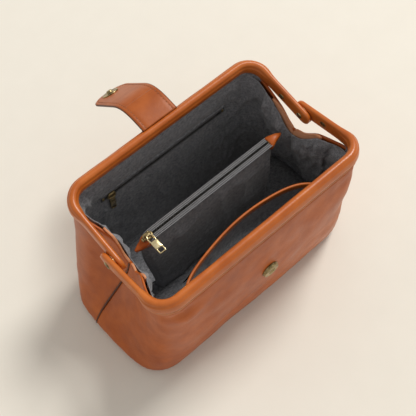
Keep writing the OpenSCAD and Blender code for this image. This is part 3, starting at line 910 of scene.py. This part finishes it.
def frame_pins():
    """Pivot pins and casing rivets with domed heads, and the plates between the arms."""
    for side, label in HALF.items():
        half = FRAME_HALF[side]
        for sx, hand in HAND.items():
            for y, kind in ((0, "pin"), (-RIVET_IN, "rivet")):
                centre = Vector(frame_point((0, y, 0), side))
                face_in = half - CASED
                build = Build()
                build.lathe([(0.01, 0.2), (1.95, 0.2), (1.95, CASED - 0.2), (0.01, CASED - 0.2)],
                            x_placement((sx * face_in, centre.y, centre.z), sx), 20)
                if side == FRONT and kind == "pin":
                    head = x_placement((sx * (half - 0.05), centre.y, centre.z), sx)
                    build.lathe(dome(4, 1.5), head)
                else:
                    head = x_placement((sx * (face_in + 0.05), centre.y, centre.z), -sx)
                    flat = side == FRONT
                    build.lathe(dome(3.3, 0.8 if flat else 1.4), head)
                    build.lathe([(3.2, 0), (3.9, 0), (3.9, 0.35), (3.2, 0.45)], head)
                name = f"{label}_{hand}_{kind}"
                rides(build, name + "_dome", OLD_BRASS, label + "_frame", "antique_brass",
                      name)
    for sx, hand in HAND.items():
        build = Build()
        low, high = box_mm(hand + "_hinge_washer")
        middle = (low + high) / 2
        thick = high.x - low.x
        place = x_placement((middle.x - sx * thick / 2, middle.y, middle.z), sx)
        build.lathe([(2.1, 0.05), (5.7, 0.05), (6.0, thick / 2), (5.7, thick - 0.02),
                     (2.1, thick - 0.02)], place)
        rides(build, hand + "_hinge_plate", BRASS, "back_frame", "antique_brass",
              hand + "_hinge_washer")


# ---------------------------------------------------------------- closing strap
STRAP_HALF = box_mm("strap_arm")[1].x
STRAP_T = 2.6
STRAP_LEN = 106.0
STRAP_BEND_S = 26.0
SNAP_S = 92.5
TIP_R = 17.0
STITCH_IN = 3.6


def droop(s):
    """Slope of the strap below the horizontal at length s."""
    return math.radians(-8 + 54 * smooth((s - 2) / 46))


def strap_line(step=0.5):
    """Middle line of the strap in Y and Z, one point each half millimetre."""
    points = [Vector((STRAP_ROOT.y + 1, STRAP_ROOT.z + 0.4))]
    count = int(STRAP_LEN / step)
    for i in range(count):
        a = droop((i + 0.5) * step)
        points.append(points[-1] + Vector((math.cos(a), -math.sin(a))) * step)
    return points


STRAP_POINTS = strap_line()


def strap_at(s, off=0.0):
    """Point of the strap's middle line; below 0 it runs on straight into the seam."""
    i = min(int(max(s, 0) / 0.5), len(STRAP_POINTS) - 1)
    a = droop(s)
    p = STRAP_POINTS[i] + Vector((math.cos(a), -math.sin(a))) * min(s, 0)
    return Vector((0, p.x + off * math.sin(a), p.y + off * math.cos(a)))


def strap_station(s, x=0.0, across=1, off=0.0):
    """A sweep's station on the strap, at x, with its across and up directions."""
    a = droop(s)
    p = strap_at(s, off)
    return (x, p.y, p.z), (across, 0, 0), (0, math.sin(a), math.cos(a))


def strap_half_width(s):
    tip = max(0.0, (s - (STRAP_LEN - TIP_R)) / TIP_R)
    return STRAP_HALF - TIP_R * (1 - math.sqrt(max(0.0, 1 - tip * tip)))


def strap_profile(half, thick):
    """Rounded strap section, a little domed and with a creased line inside each edge."""
    shape = []
    across = [-1, -0.97, -0.9, -0.84, -0.81, -0.78, -0.6, -0.3, 0, 0.3, 0.6, 0.78, 0.81, 0.84,
              0.9, 0.97, 1]
    for t in across:
        edge = 1 - abs(t)
        lift = thick / 2 * min(1.0, 0.35 + edge * 14)
        groove = 0.22 * math.exp(-((abs(t) - 0.81) / 0.02) ** 2)
        shape.append((half * t, lift + 0.25 * (1 - t * t) - groove))
    shape += [(half * t, -thick / 2 * min(1.0, 0.35 + (1 - abs(t)) * 14)) for t in across[::-1]]
    return shape[::-1]


def strap_piece(name, start, stop, bodies, blend_at, nodes):
    marks = span(start, stop, int((stop - start) / 1.2))
    if stop >= STRAP_LEN:
        marks = [m for m in marks if m < STRAP_LEN - 4]
        marks += [STRAP_LEN - 4 * (1 - math.sin(math.radians(a))) for a in range(0, 91, 10)]
    build = Build()
    build.sweep([strap_station(s) for s in marks],
                [strap_profile(strap_half_width(s), STRAP_T) for s in marks])
    ends = strap_at(blend_at - 4), strap_at(blend_at + 4)
    blends(build, name, STRAP, bodies, *ends, "tan_leather", *nodes)
    edge, rows = Build(), Build()
    for sx in (-1, 1):
        edge.sweep([strap_station(s, sx * (strap_half_width(s) - 0.15), sx) for s in marks[:-1]],
                   circle(0.42, 0.95, 8))
        sewn = [strap_station(s, sx * max(strap_half_width(s) - STITCH_IN, 0.1), 1,
                              STRAP_T / 2 + 0.1) for s in marks if s <= STRAP_LEN - 4.2]
        stitches(rows, [p for p, _, _ in sewn], [up for _, _, up in sewn])
    blends(edge, name + "_painted_edge", DARK_EDGE, bodies, *ends, "dark_leather")
    blends(rows, name + "_stitches", THREAD, bodies, *ends, "tan_leather")


def strap_anchor():
    """Leather sewn flat over the casing and down the back panel."""
    bar = (0, -REACH)
    out = frame_station(bar, (0, -1), 0, BACK)[1]
    build = Build()
    build.sweep([(frame_point((0, -REACH - STRAP_T / 2 - 0.35, v), BACK), (1, 0, 0), -out)
                 for v in span(SEAM_V + 0.8, RIM_V - 1.2, 10)], strap_profile(STRAP_HALF, STRAP_T))
    rides(build, "strap_anchor_leather", STRAP, "back_frame", "tan_leather", "strap_anchor")
    patch = Build()
    stations = []
    for z in span(SEAM_Z - 38, SEAM_Z - 1.5, 24):
        out = Vector((0, 2, wall_y(z - 1) - wall_y(z + 1))).normalized()
        stations.append(((0, wall_y(z) + STRAP_T / 2 + 0.4, z), (1, 0, 0), -out))
    patch.sweep(stations, strap_profile(STRAP_HALF, STRAP_T))
    rides(patch, "strap_patch_leather", STRAP, "back_wall", "tan_leather", "strap_patch")
    rows = Build()
    for x in (-1, 1):
        path = [(x * (STRAP_HALF - STITCH_IN), wall_y(z) + STRAP_T + 0.7, z)
                for z in span(SEAM_Z - 34.5, SEAM_Z - 4, 16)]
        stitches(rows, path, [(0, 1, 0)] * len(path))
    for z in (SEAM_Z - 34.5, SEAM_Z - 8):
        path = [(x, wall_y(z) + STRAP_T + 0.7, z)
                for x in span(-STRAP_HALF + 4, STRAP_HALF - 4, 8)]
        stitches(rows, path, [(0, 1, 0)] * len(path))
    rides(rows, "strap_patch_stitches", THREAD, "back_wall", "tan_leather")


# ---------------------------------------------------------------- magnetic snap
def wall_placement(side, z, depth):
    """On a wall's outer face: Z points out of the bag, X along it."""
    lean = math.atan((wall_y(z + 1) - wall_y(z - 1)) / 2)
    out = Vector((0, side * math.cos(lean), -math.sin(lean)))
    up = Vector((0, side * math.sin(lean), math.cos(lean)))
    origin = Vector((0, side * wall_y(z), z)) - out * depth
    return axes(origin, up.cross(out), up, out)


def snaps():
    low, high = box_mm("front_snap")
    middle_z = (low.z + high.z) / 2
    cup = Build()
    place = wall_placement(FRONT, middle_z, 0)
    cup.lathe([(3.4, 0.9), (3.55, 2.8), (3.9, 3.3), (5.4, 3.25), (6.1, 2.95), (6.6, 2.95),
               (7.3, 3.2), (8.1, 3.0), (8.45, 2.2), (8.5, 1.2), (9.0, 0.9), (9.0, 0.1), (4.0, 0.0)],
              place, 56)
    cup.lathe([(0.01, 0.9), (3.5, 0.9), (3.5, 0.3), (0.01, 0.3)], place, 40)
    rides(cup, "front_snap_cup", OLD_BRASS, "front_wall", "antique_brass", "front_snap")
    a = droop(SNAP_S)
    up = Vector((0, math.sin(a), math.cos(a)))
    along = Vector((0, math.cos(a), -math.sin(a)))
    top = axes(strap_at(SNAP_S, STRAP_T / 2 + 0.15), (1, 0, 0), along, up)
    stud = Build()
    stud.lathe([(0.01, 0), (8.3, 0), (8.5, 0.5), (8.3, 1.0), (7.7, 1.25), (6.6, 1.05), (5.6, 1.0),
                (4.6, 1.15), (3.4, 1.35), (3.0, 1.6), (2.95, 2.9), (2.6, 3.3), (0.01, 3.4)],
               top, 56)
    rides(stud, "strap_snap_stud", OLD_BRASS, "strap_end", "antique_brass", "strap_snap")
    under = axes(strap_at(SNAP_S, -STRAP_T / 2), (1, 0, 0), -along, -up)
    cap = Build()
    cap.lathe([(0.01, 0), (7.0, 0), (7.0, 0.3), (6.4, 0.75), (4.5, 1.0), (0.01, 1.1)], under, 48)
    rides(cap, "strap_snap_back", OLD_BRASS, "strap_end", "antique_brass",
          "strap_snap_cap")


# ---------------------------------------------------------------- zips
def zip_rows(build, place, low_x, high_x):
    """Two rows of interlocked rounded teeth along the placement's X."""
    pitch = 2.0
    count = int((high_x - low_x) / pitch)
    for i in range(count):
        for row, shift in ((-1, 0.0), (1, 0.5)):
            x = low_x + (i + 0.5 + shift) * pitch
            if x > high_x - 0.6:
                continue
            here = place @ at(x, row * 0.55, 0.75)
            build.pebble(here, (0.62, 1.05, 0.72), 0.6, 4, 8)


# Woven ridges across a tape, from its inner edge (0) to its outer edge (1).
RIDGES = (0.12, 0.42, 0.66, 0.9)


def no_sag(x):
    """A tape that lies straight."""
    return 0.0


def zip_tape_half(build, place, low_x, high_x, width, row, sag=no_sag):
    """One woven tape with raised ridges along it."""
    def face(lift):
        def point(u, v):
            x = lerp(low_x, high_x, u)
            y = row * lerp(1.0, width, v)
            ridge = sum(0.75 * math.exp(-((v - place_v) / 0.07) ** 2) for place_v in RIDGES)
            wave = 0.2 * lumps((x, y, 0), 16, 3.0 + row)
            return place @ Vector((x, y, lift * (0.6 + ridge) + wave - sag(x)))
        return point
    sheets = (face(0.75), face(0.0))
    build.sheet(*(sheets if row > 0 else sheets[::-1]), 26, 90)


def zip_slider(name, body, node, place, x, material):
    """Slider: two rounded plates, a bridge and side walls."""
    build = Build()
    shield = []
    for cos_a, sin_a in circle(1, 1, 28):
        wide = 4.0 - 0.9 * clamp((cos_a + 1) / 2)
        shield.append((5.0 * power_of(cos_a, 0.75), wide * power_of(sin_a, 0.75)))
    build.slab(shield, 1.85, 3.1, 0.45, place @ at(x, 0, 0))
    for sy in (-1, 1):
        build.pebble(place @ at(x + 0.5, sy * 3.35, 1.6), (3.6, 0.55, 1.1), 0.5)
    bridge = []
    for k in range(13):
        a = math.pi * k / 12
        origin = place @ Vector((x - 3.4 * math.cos(a), 0, 3.0 + 1.9 * math.sin(a) ** 0.7))
        along = (place.to_3x3() @ Vector((math.sin(a), 0, math.cos(a)))).normalized()
        side = place.to_3x3() @ Vector((0, 1, 0))
        bridge.append((origin, side, along.cross(side)))
    build.sweep(bridge, rounded_rect(1.9, 1.0, 0.4, 3))
    for dx in (-2.0, 2.0):
        build.pebble(place @ at(x + dx, -1.9, 3.7), (0.55, 2.0, 0.9), 0.5)
    rides(build, name, material, body, "antique_brass", node)


def flat_ring(build, place, line, profile):
    """Sweeps round a closed line of (x, y) points and outward directions in a placement."""
    turn = place.to_3x3()
    build.sweep([(place @ Vector((*p, 0)), turn @ Vector((*out, 0)).normalized(),
                  turn @ Vector((0, 0, 1))) for p, out in line], profile, loop=True)


def zip_pull(name, body, node, place, length, width, material, ring=(4.2, 3.1)):
    """Pull: a wire loop round the slider's bar and a plate with a window."""
    build = Build()
    long_half, wide_half = ring
    wire = []
    for cos_a, sin_a in circle(1, 1, 28):
        p = (wide_half * power_of(cos_a, 0.8), -2.0 + long_half * power_of(sin_a, 0.8))
        wire.append((p, (cos_a / wide_half, sin_a / long_half)))
    flat_ring(build, place, wire, circle(0.75, 0.75, 10))
    top, low = -5.4, -length
    window = width * 0.5
    solid_top = low + window + 1.5
    plate = rounded_rect(width, top - solid_top + 1.0, 0.9, 3)
    build.slab(plate, -0.8, 0.8, 0.35, place @ at(0, (top + solid_top) / 2, 0))
    centre_y = low + window / 2 + 0.9
    bars = [((x, centre_y + y), (x, y)) for x, y in rounded_rect(width - 1.1, window + 1.6, 0.9, 4)]
    flat_ring(build, place, bars, rounded_rect(1.3, 1.6, 0.35, 2))
    rides(build, name, material, body, "antique_brass", node)


def zip_stops(name, body, node, place, positions):
    build = Build()
    for x in positions:
        build.pebble(place @ at(x, 0, 1.0), (1.2, 1.9, 0.9), 0.4, 6, 12)
    rides(build, name, OLD_BRASS, body, "antique_brass", node)


def divider_sag(x):
    """How far the centre pocket hangs down beyond the parked slider."""
    return 7.0 * smooth((-x - (DIVIDER_HALF - 16)) / 14)


def divider_zip():
    place = at(0, DIVIDER_Y, DIVIDER_Z)
    half = DIVIDER[1].x
    teeth = Build()
    zip_rows(teeth, place, -half, half)
    rides(teeth, "divider_zip_coil", COIL, "root", "antique_brass", "divider_teeth")
    for row, label in HALF.items():
        tape = Build()
        zip_tape_half(tape, place, -DIVIDER_HALF + 7, DIVIDER_HALF - 7, 5.4, row, divider_sag)
        rides(tape, f"divider_{label}_tape", TAPE, "root", "zip_tape",
              f"divider_tape_{label}")
    cords = Build()
    for row in (-1, 1):
        for across in (1.6, 3.4, 5.2):
            line = []
            for x in span(-DIVIDER_HALF + 7, DIVIDER_HALF - 7, 90):
                wave = 0.2 * lumps((x, row * across, 0), 16, 3.0 + row)
                z = DIVIDER_Z + 0.95 + wave - divider_sag(x)
                line.append(((x, DIVIDER_Y + row * across, z), (0, 1, 0), (0, 0, 1)))
            cords.sweep(line, circle(0.36, 0.3, 6))
    rides(cords, "divider_tape_cords", GREY_THREAD, "root", "zip_tape")
    low, high = box_mm("divider_slider")
    x = (low.x + high.x) / 2
    zip_stops("divider_zip_ends", "root", "divider_stops", place, (-half + 0.6, half - 0.6))
    zip_slider("divider_zip_slider", "divider_slider_body", "divider_slider", place, x, OLD_BRASS)
    eye = joint_mm("divider_pull_swing")
    low, high = box_mm("divider_pull")
    zip_pull("divider_zip_pull", "divider_pull_body", "divider_pull", at(*eye), eye.y - low.y,
             high.x - low.x, BRASS)


def back_zip():
    slider_low, slider_high = box_mm("back_slider")
    place = wall_placement(BACK, BACK_ZIP_Z, LINING_IN + 1.4) @ Matrix.Rotation(math.pi, 4, "Y")
    half = BACK_ZIP[1].x
    teeth = Build()
    zip_rows(teeth, place, -half, half)
    rides(teeth, "back_zip_coil", COIL, "back_wall", "antique_brass", "back_zip_teeth")
    tape = Build()
    for row in (-1, 1):
        zip_tape_half(tape, place, -half - 4, half + 4, 4.4, row)
    rides(tape, "back_zip_tapes", TAPE, "back_wall", "zip_tape", "back_zip_tape")
    zip_stops("back_zip_ends", "back_wall", "back_zip_stops", place, (-half - 1.6, half + 1.6))
    x = (slider_low.x + slider_high.x) / 2
    zip_slider("back_zip_slider", "back_slider_body", "back_slider", place, x, OLD_BRASS)
    eye = joint_mm("back_pull_swing")
    turn = place.to_3x3()
    pull_place = Matrix.Translation(eye) @ turn.to_4x4()
    side, up = turn @ Vector((0, 1, 0)), turn @ Vector((0, 0, 1))
    low, high = box_mm("back_pull")
    zip_pull("back_zip_pull", "back_pull_body", "back_pull", pull_place, 22, high.x - low.x,
             OLD_BRASS, (3.2, 2.4))
    welts = Build()
    for row in (-1, 1):
        stations = []
        for x in span(-half - 6, half + 6, 60):
            wave = 0.25 * lumps((x, row, 0), 12, 1.0)
            stations.append((place @ Vector((x, row * 5.0 + wave, -0.1)), side, up))
        welts.sweep(stations, circle(1.2, 0.9, 8))
    rides(welts, "back_zip_welts", LINING, "back_wall", "grey_lining")
    rows = Build()
    for row in (-1, 1):
        path = [place @ Vector((x, row * 7.2, 0.15)) for x in span(-half - 6, half + 6, 40)]
        stitches(rows, path, [up] * len(path), 2.6, 1.8, 0.28)
    for sx in (-1, 1):
        path = [place @ Vector((sx * (half + 6.5), y, 0.3)) for y in span(-6.5, 6.5, 6)]
        stitches(rows, path, [up] * len(path), 1.4, 1.6, 0.35)
    rides(rows, "back_zip_stitches", GREY_THREAD, "back_wall", "zip_tape")


# ---------------------------------------------------------------- centre pocket
def divider_cloth():
    """Flat cloth pouch under the centre zip, gathered at its ends."""
    half = DIVIDER_HALF
    top = DIVIDER_Z - 0.2
    for side, label in HALF.items():
        def face(depth):
            def point(u, v):
                s = 2 * u - 1
                z = lerp(7.2, top, v)
                x = s * (half - 3 - 9 * smooth(1 - v * 1.15))
                tip = smooth((abs(x) - half + 21) / 14) * smooth((v - 0.7) / 0.25)
                end = smooth((abs(s) - 0.93) / 0.07)
                swell = 2.4 * math.sin(math.pi * clamp(v)) ** 0.8
                ease = smooth((1 - v) * 5)
                wrinkle = 1.2 * creases((x, side * 9, z * 0.7), 26, 2.0 + side) * ease
                ripple = 1.8 * lumps((x, side * 9, z * 0.6), 38, 6.0) * ease
                off = (5.0 + swell + wrinkle + ripple) * (1 - 0.62 * tip) * (1 - 0.85 * end)
                return (x, DIVIDER_Y + side * (off - depth), z - divider_sag(x) * v)
            return point
        build = Build()
        pair = (face(0), face(LINING_T))
        build.sheet(*(pair if side == FRONT else pair[::-1]), 40, 90)
        rides(build, f"divider_{label}_cloth", LINING, "root", "grey_lining",
              f"divider_{label}")


def divider_tabs():
    """Folded leather cone at each end of the centre pocket, its tip sewn to the end lining."""
    for sx, hand, start, long in ((-1, "left", 11, 14), (1, "right", 8, 16)):
        build = Build()
        top = DIVIDER_Z + 2.2
        rings = []
        for t in span(0, 1, 16):
            x = DIVIDER_HALF - start + t * long
            high = top + 1.6 * math.sin(math.pi * t) - 2.0 * t * t - divider_sag(sx * x)
            deep = lerp(9.5, 4.5, t)
            wide = lerp(6.4, 1.1, t ** 1.3)
            if t == 0:
                wide, deep = wide - 0.7, deep - 0.7
            ring = []
            for cos_a, sin_a in circle(1, 1, 28):
                pinch = 0.5 * math.exp(-((t - 0.45) / 0.12) ** 2) * abs(cos_a)
                ring.append((sx * (x + 0.8 * sin_a),
                             DIVIDER_Y + (wide - pinch) * power_of(cos_a, 0.85),
                             high - deep / 2 + deep / 2 * power_of(sin_a, 0.8)))
            rings.append(ring if sx > 0 else ring[::-1])
        build.loft(rings)
        rides(build, f"divider_{hand}_leather", TAN, "root", "tan_leather", f"divider_{hand}_tab")
        rows = Build()
        path, normals = [], []
        for angle in span(8, 172, 10):
            a = math.radians(angle)
            path.append((sx * (DIVIDER_HALF - start + 1.8 + 0.8 * math.sin(a)),
                         DIVIDER_Y + 6.35 * power_of(math.cos(a), 0.85),
                         top - 4.55 + 4.9 * power_of(math.sin(a), 0.8)
                         - divider_sag(sx * (DIVIDER_HALF - start + 2))))
            normals.append((0, math.cos(a), math.sin(a)))
        stitches(rows, path, normals, 2.4, 1.7, 0.34)
        rides(rows, f"divider_{hand}_stitches", THREAD, "root", "tan_leather")


# ---------------------------------------------------------------- pockets on the walls
SLIP = box_mm("slip_pocket")
SLIP_HALF = SLIP[1].x
SLIP_LOW = SLIP[0].z
SLIP_TOP = SLIP[1].z


def slip_point(u, v, depth):
    """Cloth of the slip pocket, standing away from the lining along its top."""
    x = SLIP_HALF * (2 * u - 1)
    z = lerp(SLIP_LOW, SLIP_TOP, v)
    end = abs(2 * u - 1)
    middle = math.cos(0.5 * math.pi * clamp(abs(x - 10) / 100)) ** 1.5
    stand = (22 * (1 - end ** 8) + 15 * middle) * smooth(1.35 * v) ** 0.9
    fold = 1.6 * creases((x, 3, z * 0.6), 19, 4.0) * v * (1 - v) * 3
    y = wall_y(z) - LINING_IN - 3.2 - depth - stand - fold
    return (x, -y, z)


def slip_pocket():
    cloth = Build()
    cloth.sheet(lambda u, v: slip_point(u, v, LINING_T), lambda u, v: slip_point(u, v, 0), 26, 70)
    obj = rides(cloth, "slip_pocket_cloth", LINING, "front_wall", "grey_lining",
                "slip_pocket")
    binding, stations = Build(), []
    for u in span(0.0, 1.0, 90):
        p = Vector(slip_point(u, 1, 0.45))
        q = Vector(slip_point(min(1, u + 0.01), 1, 0.45))
        if u >= 1:
            q = p + (p - Vector(slip_point(0.99, 1, 0.45)))
        side = Vector((0, 0, 1)).cross((q - p).normalized()).normalized()
        stations.append((p + Vector((0, 0, -1.2)), side, (0, 0, 1)))
    binding.sweep(stations, rounded_rect(2.6, 7.0, 1.2, 5))
    trim = rides(binding, "slip_pocket_binding", RIM, "front_wall", "tan_leather",
                 "slip_pocket_trim")
    rows = Build()
    for sy in (-1, 1):
        path, normals = [], []
        for origin, side, _ in stations[2:-2]:
            path.append(origin + side * sy * 1.35 + Vector((0, 0, -2.1)))
            normals.append(side * sy)
        stitches(rows, path, normals, 3.2, 2.2, 0.32)
    thread = rides(rows, "slip_pocket_stitches", THREAD, "front_wall", "tan_leather")
    for piece in (obj, trim, thread):
        -MM * (wall_y(SLIP_TOP) - LINING_IN - 2)
        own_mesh(piece)


def back_pouch():
    """Cloth pouch behind the back lining."""
    build = Build()

    def face(depth):
        def point(u, v):
            z = lerp(31, 101, v)
            return (80 * (2 * u - 1), wall_y(z) - depth - 0.1 * lumps((u * 40, 0, z), 9), z)
        return point

    build.sheet(face(2.5), face(3.5), 20, 40)
    rides(build, "back_pouch_cloth", LINING, "back_wall", "grey_lining", "back_pocket_bag")


# ---------------------------------------------------------------- carried-over CAD nodes
def finish_cad_nodes():
    for node, material in (("front_frame_strip", STEEL), ("back_frame_strip", STEEL),
                           ("front_snap_washer", STEEL), ("base_board", BOARD)):
        mesh = frame["nodes"][node].data
        mesh.materials.clear()
        mesh.materials.append(material)


# ---------------------------------------------------------------- stage
CAMERA_AZIMUTH = math.radians(-40.4)
CAMERA_ELEVATION = math.radians(64.2)
CAMERA_ROLL = math.radians(-1.3)
CAMERA_DISTANCE = 0.7753
TARGET = Vector((0, 0, 0.060))
AIM_RIGHT = -0.0054
AIM_UP = 0.0174
CAMERA_LENS = 69.2
KEY_PLACE = (2.8, 0.5, 4.1)
KEY_SIZE = 1.6
KEY_POWER = 168
ROOM_STRENGTH = 0.54
WARM_WHITE = (1.0, 0.975, 0.93)


def camera():
    az, el = CAMERA_AZIMUTH, CAMERA_ELEVATION
    back = Vector((math.sin(az) * math.cos(el), -math.cos(az) * math.cos(el), math.sin(el)))
    level = Vector((math.cos(az), math.sin(az), 0))
    rise = back.cross(level)
    right = level * math.cos(CAMERA_ROLL) + rise * math.sin(CAMERA_ROLL)
    up = rise * math.cos(CAMERA_ROLL) - level * math.sin(CAMERA_ROLL)
    eye = TARGET + back * CAMERA_DISTANCE
    aim = TARGET + right * AIM_RIGHT + up * AIM_UP
    view_back = (eye - aim).normalized()
    view_right = (right - view_back * right.dot(view_back)).normalized()
    view_up = view_back.cross(view_right)
    data = bpy.data.cameras.new("camera")
    data.lens = CAMERA_LENS
    data.sensor_width = 36
    data.clip_start = 0.01
    obj = bpy.data.objects.new("camera", data)
    obj.matrix_world = axes(eye, view_right, view_up, view_back)
    bpy.context.collection.objects.link(obj)
    bpy.context.scene.camera = obj


def key_light():
    """The one lamp: a large disc far off, for soft shadows."""
    data = bpy.data.lights.new("key_light", "AREA")
    data.shape = "DISK"
    data.size = KEY_SIZE
    data.energy = KEY_POWER
    data.color = WARM_WHITE
    obj = bpy.data.objects.new("key_light", data)
    obj.location = KEY_PLACE
    aim = Vector((0, 0, 0.05)) - Vector(KEY_PLACE)
    obj.rotation_euler = aim.to_track_quat("-Z", "Y").to_euler()
    bpy.context.collection.objects.link(obj)


def stage():
    half = 4000
    points = [(-half, -half, 0), (half, -half, 0), (half, half, 0), (-half, half, 0)]
    floor = make_mesh("floor", points, [(0, 1, 2, 3)], floor_material(), False)
    floor.location.z = -0.0002
    key_light()
    world = bpy.data.worlds.new("soft_room")
    world.use_nodes = True
    sky = world.node_tree.nodes["Background"]
    sky.inputs[0].default_value = (*WARM_WHITE, 1)
    sky.inputs[1].default_value = ROOM_STRENGTH
    bpy.context.scene.world = world
    bpy.context.scene.view_settings.view_transform = "Standard"


# ---------------------------------------------------------------- assembly
for side in (FRONT, BACK):
    half_shell(side)
    half_lining(side)
    casing(side)
    seam_welt(side)
    lining_hem(side)
for side_x in (-1, 1):
    end_seam(side_x)
    for side in (FRONT, BACK):
        end_facing(side_x, side)
base_pieces()
frame_pins()
ROOT_AT = 2.0
strap_piece("strap_root", -4.5, STRAP_BEND_S, ("back_frame", "strap"), ROOT_AT, ["strap_arm"])
strap_piece("strap_flap", STRAP_BEND_S - 0.05, STRAP_LEN, ("strap", "strap_end"), STRAP_BEND_S,
            ["strap_tip"])
strap_anchor()
snaps()
divider_zip()
divider_cloth()
divider_tabs()
slip_pocket()
back_zip()
back_pouch()
finish_cad_nodes()
camera()
stage()
